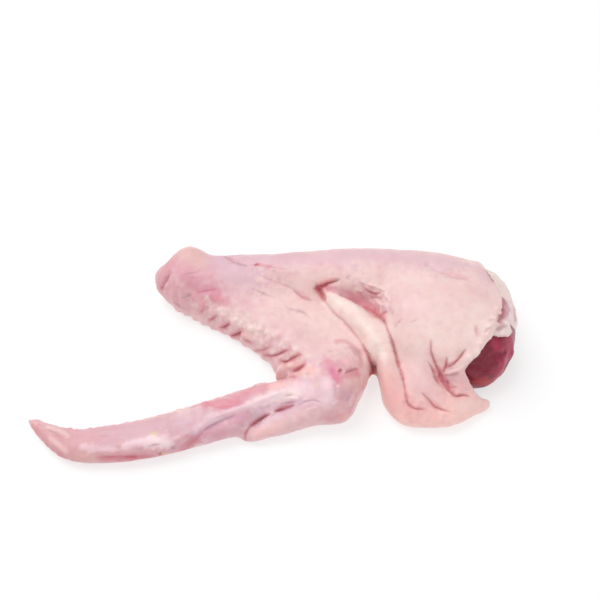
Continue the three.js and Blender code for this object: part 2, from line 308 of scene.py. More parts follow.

# Creases: places, depth, half width, the tone at the bottom and its strength. The dark and red tones at the
# bottoms are partly the skin's own redder colour in its folds and partly painted shade
CREASES = [
    # The opening above the roll of loose skin, and the roll's two sides
    ([(315, 289), (322, 286), (330, 283), (339, 280)], 2.5, 1.7, FOLD_RED, 0.75),
    ([(316, 284), (318, 289), (321, 294), (325, 302)], 2.8, 1.4, FOLD_RED, 1.0),
    ([(317, 286), (319, 289), (321, 292)], 1.2, 1.2, PIT_RED, 1.0),
    ([(316, 283), (323, 281), (331, 278), (338, 277)], -0.7, 0.6, PEACH, 0.9),
    ([(322, 298), (333, 312), (343, 321), (352, 331), (359, 340), (364, 348)], 0.9, 0.45, FLUSH_AND_SHADE, 0.75),
    ([(362, 344), (366, 352), (369, 358), (372, 364), (374, 370), (373, 377)], 1.8, 0.7, FOLD_RED, 1.0),
    ([(371, 362), (374, 368), (373, 374)], 1.2, 0.7, PIT_DARK, 0.9),
    # Painted shade under the shoulder skin's overhang beside the roll, darkest along its lower edge
    ([(338, 294), (346, 297), (354, 300), (362, 305), (371, 311), (380, 317)], 1.5, 1.1, FLUSH_AND_SHADE, 0.7),
    ([(362, 306), (370, 310), (377, 315), (382, 319), (387, 326)], 1.8, 0.9, FOLD_RED, 1.0),
    ([(378, 314), (383, 318), (386, 324)], 0.8, 0.6, PIT_DARK, 0.5),
    (
        [(384, 322), (389, 333), (393, 343), (396, 354), (399, 366), (403, 378), (407, 401)],
        1.8, 0.5, FOLD_RED, 1.0,
    ),
    ([(388, 335), (392, 344), (395, 356)], 0.8, 0.45, PIT_DARK, 0.6),
    ([(405, 392), (408, 403), (412, 407), (418, 409), (426, 409)], 1.1, 0.7, FOLD_RED, 0.8),
    # Small folds above the roll
    ([(345, 280), (348, 277), (352, 275)], 0.4, 0.5, SHADE, 0.5),
    ([(347, 277), (350, 281)], 0.3, 0.4, SHADE, 0.4),
    ([(362, 284), (365, 289), (369, 292), (375, 294), (381, 293)], 1.2, 0.55, FLUSH_AND_SHADE, 0.9),
    ([(367, 290), (373, 294), (379, 294)], 0.8, 0.45, FOLD_RED, 0.7),
    # Painted highlights on the raised folds above the roll
    ([(361, 281), (368, 284), (377, 287), (386, 291)], -0.9, 0.8, SKIN_CREAM, 0.8),
    ([(383, 294), (387, 297), (390, 302)], -0.7, 0.8, FAT_LILAC_AND_HIGHLIGHT, 0.8),
    ([(375, 301), (380, 304), (385, 306)], -0.7, 0.8, FAT_LILAC_AND_HIGHLIGHT, 0.8),
    ([(357, 291), (361, 296), (364, 301)], 0.6, 0.7, SKIN_ROSE, 0.7),
    ([(371, 299), (377, 298), (381, 301)], 0.6, 0.6, FLUSH_AND_SHADE, 0.5),
    ([(388, 306), (391, 312), (392, 318)], 0.5, 0.7, SKIN_ROSE, 0.5),
    ([(380, 316), (384, 313), (387, 312)], 0.8, 0.8, FOLD_RED, 0.7),
    ([(394, 329), (398, 323), (403, 318)], 0.5, 0.6, SKIN_ROSE, 0.6),
    ([(409, 323), (418, 320)], 0.4, 0.6, SKIN_ROSE, 0.5),
    # Folds of the flap, most of which run together below the skin's edge
    ([(421, 392), (428, 399), (434, 406), (440, 409), (450, 412)], 1.1, 0.6, FOLD_RED, 0.75),
    ([(428, 362), (434, 371), (437, 380), (445, 389)], 1.6, 0.6, FOLD_RED, 0.85),
    ([(431, 340), (431, 352), (435, 363), (439, 372), (443, 382), (449, 389)], 1.5, 0.6, FOLD_RED, 0.95),
    ([(446, 387), (452, 393), (457, 396), (464, 395), (470, 397)], 1.5, 0.7, FOLD_RED, 0.8),
    ([(447, 357), (446, 363), (445, 368), (443, 373)], 1.3, 0.5, FOLD_RED, 0.95),
    ([(445, 368), (451, 366), (456, 362), (461, 356), (466, 349)], 1.5, 0.75, FOLD_RED, 0.75),
    ([(444, 374), (453, 371), (460, 368), (467, 364)], -1.0, 0.8, SKIN_CREAM, 0.9),
    ([(446, 376), (452, 375), (459, 373)], 0.8, 0.7, SHADE, 0.5),
    ([(447, 380), (448, 386), (451, 391)], 0.9, 0.5, FOLD_RED, 0.75),
    ([(436, 366), (441, 376), (447, 386)], 0.8, 0.45, PIT_RED, 0.7),
    ([(450, 388), (458, 387)], 0.6, 0.5, FLUSH_AND_SHADE, 0.6),
    ([(476, 388), (479, 395), (487, 400)], 0.6, 0.8, FLUSH_AND_SHADE, 0.6),
    ([(477, 326), (476, 331), (478, 336)], 0.5, 0.6, FLUSH_AND_SHADE, 0.5),
    # Beside the skin's cut edge
    ([(487, 270), (491, 278), (496, 285), (500, 293)], 0.9, 0.55, OLIVE, 0.9),
    ([(493, 326), (488, 329), (484, 334)], 0.5, 0.5, SKIN_ROSE, 0.6),
    ([(488, 322), (492, 320), (496, 321)], 0.4, 0.5, SHADE, 0.4),
    # The web between the upper arm and the forearm
    ([(216, 251), (226, 257), (236, 263), (249, 267)], 0.9, 0.45, SHADE, 0.95),
    ([(249, 266), (256, 265), (270, 267), (286, 270)], 0.4, 0.6, SKIN_ROSE, 0.6),
    ([(258, 275), (272, 281), (288, 287), (299, 294)], 0.5, 0.9, SKIN_ROSE, 0.5),
    ([(293, 290), (302, 297), (313, 301)], 0.9, 0.7, FLUSH_AND_SHADE, 0.8),
    ([(252, 289), (262, 293), (271, 297)], 0.5, 0.6, SHADE, 0.5),
    ([(284, 306), (294, 310), (302, 312), (312, 318)], 0.6, 0.6, SHADE, 0.65),
    # The elbow
    ([(170, 275), (165, 283), (161, 290)], 0.5, 0.8, FLUSH_AND_SHADE, 0.6),
    ([(163, 285), (161, 290)], 0.5, 0.8, ORCHID, 0.7),
    ([(183, 275), (196, 273)], 0.3, 0.8, SHADE, 0.3),
    ([(181, 298), (187, 296), (193, 294)], 0.5, 0.5, SHADE, 0.6),
    ([(199, 293), (208, 291), (217, 290)], 0.5, 0.7, HOT_PINK, 0.45),
    ([(174, 301), (179, 305), (184, 308)], 0.7, 0.6, SHADE, 0.7),
    # The hand's ridge, grooves and edges
    # The pale on the ridge's crest is partly its pale fat and partly painted highlight
    ([(284, 391), (256, 402), (231, 411), (210, 419), (197, 430)], -0.5, 0.6, FAT_LILAC_AND_HIGHLIGHT, 0.8),
    # Painted shade under the hand's ridge
    ([(234, 416), (222, 421), (212, 426), (203, 431)], 0.5, 0.7, MAUVE, 0.8),
    ([(203, 433), (197, 438), (190, 444), (184, 450)], 0.6, 0.9, FLUSH_AND_SHADE, 0.7),
    ([(206, 402), (214, 406), (226, 407), (236, 405)], 0.7, 0.7, HOT_PINK, 0.8),
    ([(147, 447), (154, 445), (161, 444)], 0.5, 0.4, SHADE, 0.9),
    ([(97, 457), (120, 457), (131, 457), (149, 456)], 0.6, 0.8, FLUSH_AND_SHADE, 0.9),
    ([(124, 457), (130, 457), (138, 457)], 0.4, 0.6, FOLD_RED, 0.7),
    ([(45, 429), (53, 433), (60, 438), (64, 444)], 0.7, 0.6, SKIN_ROSE, 0.7),
    ([(64, 432), (92, 437), (130, 434)], 0.3, 0.8, SKIN_ROSE, 0.4),
    ([(95, 431), (104, 433), (113, 430)], -0.4, 0.6, SKIN_PINK, 0.5),
    # The thumb's groove, and the fine lines at its root
    ([(249, 428), (252, 425), (258, 421), (264, 417), (270, 414)], 2.0, 0.7, FOLD_RED, 0.9),
    ([(274, 412), (279, 410), (285, 408), (294, 405)], 2.0, 0.7, FOLD_RED, 0.9),
    ([(256, 422), (263, 417), (269, 414)], 0.8, 0.5, PIT_DARK, 0.7),
    ([(275, 411), (280, 410), (285, 408)], 0.8, 0.5, PIT_DARK, 0.7),
    ([(272, 416), (273, 411)], -0.9, 0.4, SKIN_CREAM, 0.9),
    ([(250, 427), (247, 431), (245, 436), (246, 441)], 1.4, 0.7, FLUSH_AND_SHADE, 0.8),
    # Painted shade above the thumb's groove
    ([(280, 404), (288, 403), (296, 402)], 0.5, 0.8, MAUVE, 0.6),
    ([(298, 406), (306, 402), (314, 401), (323, 404)], 0.6, 0.7, SKIN_LILAC, 0.7),
    ([(284, 399), (291, 398), (299, 399)], -0.4, 0.5, FAT_WHITE_AND_HIGHLIGHT, 0.8),
    ([(302, 400), (309, 399)], -0.4, 0.5, FAT_WHITE_AND_HIGHLIGHT, 0.7),
    ([(285, 396), (293, 395)], 0.4, 0.4, SHADE, 0.6),
    ([(238, 427), (242, 426), (246, 427)], 0.4, 0.4, SHADE, 0.6),
    ([(262, 408), (272, 405)], 0.3, 0.4, SHADE, 0.5),
    ([(305, 411), (318, 407)], -0.4, 0.6, FAT_WHITE_AND_HIGHLIGHT, 0.5),
    # The wrist's ring and its crease
    (
        [(338, 374), (337, 371), (339, 368), (342, 368), (344, 370), (344, 373), (341, 375)],
        -0.6, 0.5, SKIN_CREAM, 0.7,
    ),
    ([(338, 372), (341, 370), (343, 372)], 1.4, 0.6, PIT_RED, 1.0),
    ([(340, 372), (341, 371)], -0.8, 0.3, SKIN_CREAM, 0.9),
    ([(345, 373), (350, 371), (358, 369), (359, 374)], 1.2, 0.6, FLUSH_AND_SHADE, 1.0),
    ([(334, 383), (335, 390), (334, 398)], 0.5, 0.5, SHADE, 0.5),
    ([(345, 402), (348, 399), (352, 396)], 0.5, 0.5, MAUVE, 0.7),
    ([(290, 375), (282, 379)], 0.7, 0.6, FLUSH_AND_SHADE, 0.6),
    ([(304, 372), (306, 374), (309, 374)], 0.5, 0.5, SHADE, 0.6),
    ([(301, 366), (309, 364)], 0.4, 0.5, FLUSH_AND_SHADE, 0.5),
]

# Feather pits along the forearm's rear edge: from the inner end to the edge, depth, half width, strength
PITS = [
    ([(204, 309), (201, 312), (199, 314)], 0.8, 0.45, 0.5),
    ([(216, 316), (212, 319), (209, 321)], 1.1, 0.5, 0.75),
    ([(230, 323), (226, 326), (220, 328)], 1.4, 0.6, 0.95),
    ([(242, 331), (238, 334), (231, 336)], 1.6, 0.65, 1.0),
    ([(243, 338), (247, 341), (253, 343)], 0.8, 0.55, 0.45),
    ([(270, 347), (263, 350), (254, 351)], 0.9, 0.5, 0.5),
    ([(288, 350), (279, 354), (272, 356), (265, 355)], 1.3, 0.5, 0.9),
    ([(300, 355), (291, 359), (286, 362), (281, 361)], 1.4, 0.55, 0.95),
    ([(304, 365), (298, 369), (292, 372)], 1.6, 0.7, 1.0),
    ([(297, 377), (289, 377), (284, 380)], 0.8, 0.5, 0.5),
]

# Fatty lumps beside the pits
LUMPS = [
    (219, 311), (236, 319), (240, 325), (244, 334), (251, 329), (260, 329), (267, 332), (273, 336),
    (262, 343), (281, 345), (296, 349), (290, 366), (308, 356), (307, 366), (304, 376), (317, 371),
]

# Where the forearm's rear edge swells out between the pits, and how far
SCALLOPS = [
    ((175, 292), 0.9), ((184, 297), 1.1), ((194, 303), 1.0), ((203, 308), 1.2), ((213, 314), 1.0),
    ((223, 320), 0.7), ((233, 326), 0.5), ((244, 334), 0.6), ((254, 341), 0.3), ((264, 349), 0.4),
]
SCALLOP_WAY = (-0.69, -0.72)
SCALLOP_WIDTH = 1.5

# The lobe of skin in the corner between the forearm and the hand, and which way it swells
CORNER_LOBE = (283, 379)
CORNER_WAY = (-0.97, -0.25)

# Bands whose surface is uneven
HAND = [(285, 398), (240, 412), (200, 425), (150, 438), (90, 445), (45, 432)]
HAND_TOP = [(70, 426), (110, 425), (160, 414), (205, 403), (262, 384)]
FOREARM_EDGE = [(196, 300), (228, 315), (262, 336), (300, 358)]
ELBOW = [(165, 282), (185, 268), (205, 285)]

# The skin's cut edge at the shoulder, from the top down. Its frayed part ends where the flap begins
CUT_EDGE = [
    (488, 270), (492, 278), (497, 286), (502, 297), (503, 306), (500, 315), (498, 323), (496, 332),
    (492, 338), (487, 343), (483, 350), (476, 360), (469, 362), (465, 367), (469, 377), (476, 386),
]
FRAYED = 12
EDGE_LUMPS = [(490, 327), (494, 319), (487, 335), (481, 343), (477, 352), (470, 358), (497, 309)]

# The red wedge on the membrane, and the membrane's wavy hem
MEMBRANE_WEDGE = [(503, 299), (503, 306), (503, 313), (500, 321)]
MEMBRANE_HEM = [(497, 332), (500, 336), (505, 337), (510, 334), (515, 328)]
HEM_END = [(516, 324), (518, 332), (517, 338)]
HEM_MIDDLE = [(507, 331), (511, 326)]


def swell_out(surface, place, outward, wide, amount):
    """Swells the surface sideways round an upright line through a place."""
    foot = surface.seen_at(place)[:2]
    aside = np.linalg.norm(surface.points[:, :2] - foot, axis=1) / wide
    surface.points[:, :2] += np.exp(-(aside**2))[:, None] * np.array(outward) * amount


def sculpt_creases(surface):
    for places, depth, wide, _, _ in CREASES:
        press(surface, places, depth, wide, sharp=True)
    for places, depth, wide, _ in PITS:
        press(surface, places, 0.7 * depth, 1.6 * wide, sharp=True)
    swell_out(surface, CORNER_LOBE, CORNER_WAY, 1.7, 2.2)
    for place, amount in SCALLOPS:
        swell_out(surface, place, SCALLOP_WAY, SCALLOP_WIDTH, amount)
    for place in LUMPS:
        press(surface, [place], -0.7, 1.1)


def rumple(surface, places, wide, size, amount, stretch=1.0, seed=0.0):
    """Uneven relief in a band along a line, drawn out along it where the stretch is above 1."""
    line = surface.drawn(places)
    which, aside, _ = surface.near(line, wide)
    course = (line[-1] - line[0]) / np.linalg.norm(line[-1] - line[0])
    spots = surface.points[which]
    spots = spots - np.outer(spots @ course, course) * (1 - 1 / stretch)
    relief = waves(spots, size, 2, seed) * np.exp(-(aside**2)) * amount
    surface.points[which] += surface.normals[which] * relief[:, None]


def fray(surface, places, reach, size, amount):
    """Pushes the skin's cut edge in and out, level with the floor."""
    line = surface.drawn(places)
    which, aside, _ = surface.near(line, reach)
    shift = waves(surface.points[which], size, 2, 27.0) * np.exp(-(aside**2)) * amount
    outward = np.array([0.8, -0.6, 0.0])
    surface.points[which] += shift[:, None] * outward


def refine_near(surface, lines, reach):
    """Halves the edges of the mesh near the lines, where the fine creases go."""
    chosen = np.zeros(len(surface.points), bool)
    for places in lines:
        which, aside, _ = surface.near(surface.drawn(places), reach / 3)
        chosen[which] = True
    shape = bmesh.new()
    shape.from_mesh(surface.mesh)
    edges = [e for e in shape.edges if chosen[e.verts[0].index] and chosen[e.verts[1].index]]
    bmesh.ops.subdivide_edges(shape, edges=edges, cuts=1, use_grid_fill=True)
    shape.to_mesh(surface.mesh)
    shape.free()
    return Surface(surface.mesh)


def colour_skin(surface):
    points = surface.points
    surface.make_ragged()
    colours = np.tile(np.array(SKIN_PALE), (len(points), 1))

    def tone(places, colour, wide, strength, sharp=False):
        paint(surface, colours, places, colour, wide, strength, sharp)

    def blotches(places, colour, wide, size, strength, seed):
        mottle(surface, colours, places, colour, wide, size, strength, seed)

    # Broad zones
    tone([(160, 275), (200, 262)], SKIN_PINK, 14, 0.95)
    tone([(170, 290), (230, 330), (270, 360)], SKIN_PINK, 10, 0.85)
    tone([(215, 262), (300, 256), (380, 254), (450, 262)], SKIN_LILAC, 6, 0.6)
    tone([(215, 262), (240, 275)], SKIN_LILAC, 9, 0.8)
    tone([(220, 300), (270, 330), (330, 370)], SKIN_PINK, 9, 0.6)
    tone([(350, 375), (340, 405)], SKIN_ROSE, 9, 0.45)
    tone([(290, 395), (220, 425), (150, 435), (60, 435)], SKIN_LILAC, 10, 0.9)
    tone([(60, 440), (35, 425)], SKIN_ROSE, 7, 0.6)
    tone([(400, 410), (440, 412), (475, 405)], PEACH, 9, 1.0)
    tone([(385, 385), (392, 400)], SALMON, 6, 0.8)
    tone([(412, 414), (430, 414)], SALMON, 4, 0.45)
    # Painted shade on the flap below its raised fold
    tone([(455, 380), (470, 380)], SKIN_ROSE, 5, 0.4)
    tone([(466, 404), (485, 402)], SKIN_PALE, 4, 0.6)
    tone([(420, 375), (425, 390)], SKIN_PINK, 7, 0.6)
    tone([(332, 297), (350, 309), (368, 328), (380, 352)], SKIN_CREAM, 4.5, 0.95)
    tone([(430, 320), (475, 325)], SKIN_CREAM, 12, 0.6)
    tone([(252, 442), (290, 430), (330, 418)], SKIN_PINK, 5, 0.8)
    # Mottled zones
    blotches([(175, 290), (230, 320), (280, 350)], SKIN_ROSE, 10, 5.0, 0.45, 3.0)
    blotches([(200, 300), (250, 325), (300, 360)], SKIN_CREAM, 7, 3.6, 0.4, 5.0)
    blotches([(280, 395), (220, 420), (150, 440), (60, 438)], SKIN_ROSE, 9, 6.0, 0.55, 7.0)
    blotches([(280, 400), (220, 425)], FAT_LILAC_AND_HIGHLIGHT, 8, 4.0, 0.45, 9.0)
    blotches([(300, 375), (350, 385), (340, 410)], SKIN_LILAC, 9, 4.0, 0.6, 11.0)
    blotches([(300, 370), (345, 400)], SKIN_CREAM, 8, 3.0, 0.4, 13.0)
    blotches([(170, 270), (200, 280)], SKIN_ROSE, 9, 4.4, 0.5, 15.0)
    blotches([(290, 262), (380, 262)], SKIN_ROSE, 9, 8.0, 0.25, 17.0)
    blotches([(360, 290), (390, 310)], SKIN_LILAC, 5, 3.0, 0.6, 19.0)
    # The hand is darker along its lower side and towards its tip
    tone([(180, 455), (120, 458), (70, 455), (45, 435)], SKIN_ROSE, 5.5, 0.65)
    tone([(45, 435), (100, 440), (150, 428)], SKIN_TAN, 7.0, 0.5)
    tone([(75, 438), (110, 438), (160, 425)], SKIN_ROSE, 6.0, 0.4)
    tone([(225, 312), (240, 322), (256, 332)], SKIN_CREAM, 3.0, 0.55)
    tone([(400, 300), (425, 300)], SKIN_PINK, 9, 0.35)
    tone([(85, 447), (100, 444)], SKIN_ROSE, 4, 0.4)
    tone([(110, 436), (135, 431), (160, 427)], SKIN_LILAC, 4, 0.5)
    tone([(140, 456), (160, 455)], FLUSH_AND_SHADE, 2, 0.3)
    tone([(175, 264), (188, 268)], MAUVE, 5, 0.15)
    # Flushed places, and painted shade under the hand's ridge and the shoulder skin's overhang
    tone([(168, 262), (163, 275)], SKIN_ROSE, 4.4, 0.75)
    tone([(184, 272), (197, 278)], BRUISE_AND_SHADE, 3.4, 0.35)
    tone([(170, 262), (190, 268)], SKIN_ROSE, 6.0, 0.35)
    tone([(158, 288), (176, 300)], SKIN_ROSE, 5, 0.6)
    tone([(191, 254), (199, 260)], SKIN_TAN, 4.5, 0.75)
    tone([(200, 291), (208, 291), (216, 293)], BRUISE_AND_SHADE, 2.2, 0.6)
    tone([(215, 299), (224, 301)], HOT_PINK, 2.0, 0.5)
    tone([(186, 280), (206, 284)], SKIN_ROSE, 3.5, 0.5)
    tone([(205, 302), (199, 309)], FLUSH_AND_SHADE, 1.8, 0.4)
    tone([(331, 367), (335, 373), (336, 379)], BRUISE_AND_SHADE, 3.2, 0.7)
    tone([(332, 371), (335, 374), (336, 378)], ORCHID, 1.5, 0.5)
    tone([(348, 374), (356, 373)], FLUSH_AND_SHADE, 1.7, 0.75)
    tone([(336, 341), (344, 341), (351, 345), (357, 350), (360, 357), (360, 366)], FLUSH_AND_SHADE, 1.0, 0.5)
    tone([(354, 351), (357, 355)], SHADE, 1.6, 0.4)
    tone([(338, 392), (346, 394), (350, 390)], MAUVE, 2.2, 0.3)
    tone([(340, 400), (342, 407)], SKIN_ROSE, 3.0, 0.45)
    tone([(349, 383), (358, 384)], SKIN_TAN, 2.4, 0.5)
    tone([(329, 419), (347, 416)], FLUSH_AND_SHADE, 2.6, 0.5)
    tone([(346, 415)], SALMON, 1.6, 0.8)
    tone([(362, 388), (356, 400), (350, 411)], SKIN_ROSE, 1.6, 0.7)
    tone([(236, 398), (250, 391), (264, 386)], HOT_PINK, 3.2, 0.55)
    tone([(205, 403), (220, 403), (235, 404)], HOT_PINK, 2.2, 0.7)
    tone([(272, 387), (286, 384)], PEACH, 2.2, 0.8)
    tone([(276, 377), (290, 382), (300, 372)], SALMON, 2.6, 0.55)
    tone([(286, 366), (294, 363)], SALMON, 2.2, 0.6)
    # Painted shade under the hand's ridge
    tone([(212, 427), (203, 433)], MAUVE, 1.8, 0.6)
    tone([(232, 420), (246, 414)], BRUISE_AND_SHADE, 2.0, 0.4)
    tone([(196, 440), (186, 449)], FLUSH_AND_SHADE, 2.2, 0.6)
    tone([(210, 434), (236, 430)], SKIN_ROSE, 2.6, 0.6)
    tone([(98, 459), (125, 458), (148, 457)], FLUSH_AND_SHADE, 1.5, 0.75)
    tone([(75, 463), (88, 464)], FLUSH_AND_SHADE, 1.8, 0.4)
    tone([(80, 458), (93, 459)], SKIN_TAN, 2.2, 0.7)
    tone([(36, 432), (48, 446), (62, 457)], FLUSH_AND_SHADE, 2.2, 0.6)
    # Painted shade under the shoulder skin's overhang beside the roll
    tone([(326, 288), (343, 292), (356, 297), (368, 303), (378, 310)], SKIN_ROSE, 1.5, 0.85)
    tone([(446, 275), (460, 279)], SKIN_ROSE, 2.6, 0.4)
    tone([(474, 290), (483, 295)], SKIN_ROSE, 3.0, 0.22)
    tone([(478, 270), (488, 278)], SKIN_LILAC, 4.0, 0.5)
    tone([(476, 327), (477, 335)], SKIN_ROSE, 0.9, 0.3)
    tone([(419, 408)], HOT_PINK, 1.3, 0.25)
    tone([(372, 366), (373, 372), (373, 379)], FOLD_RED, 1.3, 0.8)
    # Painted shade along the roll's upper edge; in the opening above the roll the red is partly the flesh's
    # own and partly painted shade
    tone([(346, 298), (356, 302), (366, 307), (377, 313)], BRUISE_AND_SHADE, 1.0, 0.45)
    tone([(316, 288), (320, 287), (325, 285)], FOLD_RED, 1.0, 0.7)
    # Fat that shows white, and painted highlights on the ridges, lumps, thumb and cut rim
    tone([(327, 384), (326, 398)], FAT_LILAC_AND_HIGHLIGHT, 2.7, 1.0)
    tone([(292, 388), (303, 386), (310, 393)], FAT_LILAC_AND_HIGHLIGHT, 3.2, 0.9)
    tone([(258, 400), (276, 396), (290, 393)], FAT_WHITE_AND_HIGHLIGHT, 2.6, 0.9)
    tone([(286, 397), (296, 391)], FAT_WHITE_AND_HIGHLIGHT, 2.2, 0.7)
    # Painted highlight
    tone([(338, 386)], FAT_WHITE_AND_HIGHLIGHT, 0.6, 0.8)
    tone([(347, 361)], PEACH, 1.5, 0.6)
    # Along the ridge's crest, partly pale fat and partly painted highlight
    tone([(270, 398), (240, 409), (214, 419), (196, 431)], FAT_LILAC_AND_HIGHLIGHT, 1.1, 0.7)
    tone([(150, 441), (158, 441), (167, 443)], FAT_WHITE_AND_HIGHLIGHT, 2.3, 0.95)
    tone([(126, 446), (134, 443), (143, 442)], FAT_LILAC_AND_HIGHLIGHT, 1.7, 0.8)
    tone([(100, 449), (113, 449)], FAT_LILAC_AND_HIGHLIGHT, 1.1, 0.7)
    tone([(84, 448), (93, 448)], FAT_LILAC_AND_HIGHLIGHT, 1.4, 0.7)
    # Painted highlights on the two ridges at the hand's tip
    tone([(47, 427), (57, 430), (67, 434)], SKIN_PALE, 0.9, 0.6)
    tone([(50, 438), (58, 445), (66, 452)], SKIN_PALE, 0.9, 0.5)
    # Painted highlight on the thumb
    tone([(256, 434), (270, 430), (280, 426)], PEACH, 1.8, 0.5)
    tone([(452, 364), (468, 359), (482, 351)], SKIN_CREAM, 1.6, 0.9)
    # Partly the pale cut rim of the skin and partly painted highlight
    tone([(495, 332), (487, 342), (478, 356)], SKIN_CREAM, 1.2, 0.6)
    # Partly the lumps' pale fat and partly painted highlight
    for place in LUMPS:
        tone([place], SKIN_CREAM, 1.3, 0.55)
    # Painted highlights on two lumps
    tone([(304, 369), (311, 371)], PEACH, 2.0, 0.7)
    tone([(244, 334), (247, 336)], PEACH, 1.0, 0.8)
    # Round the flap's folds, partly the skin's flush and partly painted shade
    tone([(437, 370), (442, 380), (448, 388)], FLUSH_AND_SHADE, 1.8, 0.5)
    tone([(441, 371), (446, 366), (456, 361)], FLUSH_AND_SHADE, 0.9, 0.5)
    # The bottoms of the folds and of the pits, with a wider flushed band round the deeper folds: their red
    # and dark tones are partly the skin's own colour and partly painted shade
    # Painted shade in the hollow where the flap's folds meet
    tone([(441, 376), (446, 383)], FLUSH_AND_SHADE, 1.7, 0.7)
    for places, depth, wide, colour, strength in CREASES:
        if depth > 0.7:
            tone(places, FLUSH_AND_SHADE, 2.4 * wide, 0.4 * strength, sharp=True)
        tone(places, colour, wide, strength, sharp=True)
    for places, _, wide, strength in PITS:
        tone(places, FLUSH_AND_SHADE, 1.9 * wide, 0.6 * strength)
        tone(places, PIT_RED, 1.5 * wide, strength, sharp=True)
        tone(places, PIT_DARK, 0.6 * wide, 0.35 * strength, sharp=True)
    tone([(488, 271), (492, 279), (498, 287)], OLIVE, 0.6, 0.9, sharp=True)
    # Specks
    tone([(164, 454), (169, 454)], SPECK_YELLOW, 0.8, 0.7)
    tone([(160, 454)], SPECK_BROWN, 0.6, 1.0)
    tone([(152, 433), (156, 433)], SPECK_YELLOW, 0.6, 0.7)
    tone([(173, 448)], SHADE, 0.8, 0.9)
    tone([(255, 265), (258, 264)], FOLD_RED, 0.5, 0.8)
    tone([(261, 265), (270, 267)], HOT_PINK, 0.9, 0.4)
    return colours


def shift_near(surface, line, reach, step):
    """Moves what lies near a line by a step."""
    which, aside, _ = surface.near(line, reach)
    surface.points[which] += np.exp(-(aside**2))[:, None] * np.array(step)


def keep_above_floor(surface):
    surface.points[:, 2] = np.maximum(surface.points[:, 2], FLOOR_GAP)


def make_skin():
    made = refined("skin", "wing_skin", voxel=0.66, rounds=3)
    surface = Surface(made.data)
    for places, depth, wide in BROAD_FORMS:
        press(surface, places, depth, wide)
    uneven = waves(surface.points, 9.0, 3, 4.0) * 0.3 + waves(surface.points, 3.2, 2, 9.0) * 0.08
    above = np.clip((surface.points[:, 2] - 1.0) / 2.0, 0, 1)
    surface.points += surface.normals * (uneven * above)[:, None]
    surface.look()
    fine = [c[0] for c in CREASES] + [p[0] for p in PITS]
    surface = refine_near(surface, fine + [CUT_EDGE, FOREARM_EDGE], 2.2)
    rumple(surface, HAND, 5.0, 2.6, 0.28, 3.5, 31.0)
    rumple(surface, HAND_TOP, 1.8, 1.6, 0.5, 1.0, 33.0)
    rumple(surface, FOREARM_EDGE, 4.0, 2.8, 0.55, 1.0, 37.0)
    rumple(surface, ELBOW, 4.0, 2.2, 0.22, 1.0, 41.0)
    rumple(surface, [(440, 375), (455, 388)], 4.0, 1.8, 0.3, 1.0, 43.0)
    rumple(surface, [(362, 288), (388, 304)], 3.4, 1.8, 0.4, 1.0, 47.0)
    rumple(surface, [(310, 375), (350, 390)], 5.0, 2.2, 0.25, 1.0, 53.0)
    surface.look()
    sculpt_creases(surface)
    cut_edge = surface.drawn(CUT_EDGE)
    for place in EDGE_LUMPS:
        press(surface, [place], -1.1, 0.9)
    surface.look()
    fray(surface, CUT_EDGE[:FRAYED], 1.4, 2.2, 1.9)
    keep_above_floor(surface)
    surface.look()
    store_colours(made.data, colour_skin(surface))
    return made, cut_edge


def make_muscle():
    made = refined("shoulder_muscle", "muscle", voxel=0.6, rounds=5)
    surface = Surface(made.data)
    press(surface, [(484, 366), (492, 356), (503, 353)], 0.6, 1.2)
    press(surface, [(498, 344), (503, 360), (501, 374)], -0.5, 2.0)
    press(surface, [(507, 364), (498, 379)], 0.5, 1.8)
    press(surface, [(512, 353)], -0.7, 2.0)
    grain = surface.points @ np.array([[0.35, 0, 0], [0, 1.0, 0], [0, 0, 1.0]])
    surface.points += surface.normals * (waves(grain, 1.8, 2, 51.0) * 0.14)[:, None]
    keep_above_floor(surface)
    surface.look()
    surface.make_ragged()
    colours = np.tile(np.array(MEAT_DARK), (len(surface.points), 1))
    paint(surface, colours, [(511, 335), (508, 356), (500, 376)], MEAT_LIGHT, 3.6, 0.95)
    paint(surface, colours, [(478, 382), (492, 383)], MEAT_WARM, 2.2, 0.8)
    # Painted highlight
    paint(surface, colours, [(494, 343), (500, 349)], MEAT_LIGHT, 1.6, 0.7)
    # Painted shade in the muscle's fold line
    paint(surface, colours, [(490, 357), (496, 354), (505, 353)], MEAT_DARK, 0.9, 0.9)
    store_colours(made.data, colours)
    return made


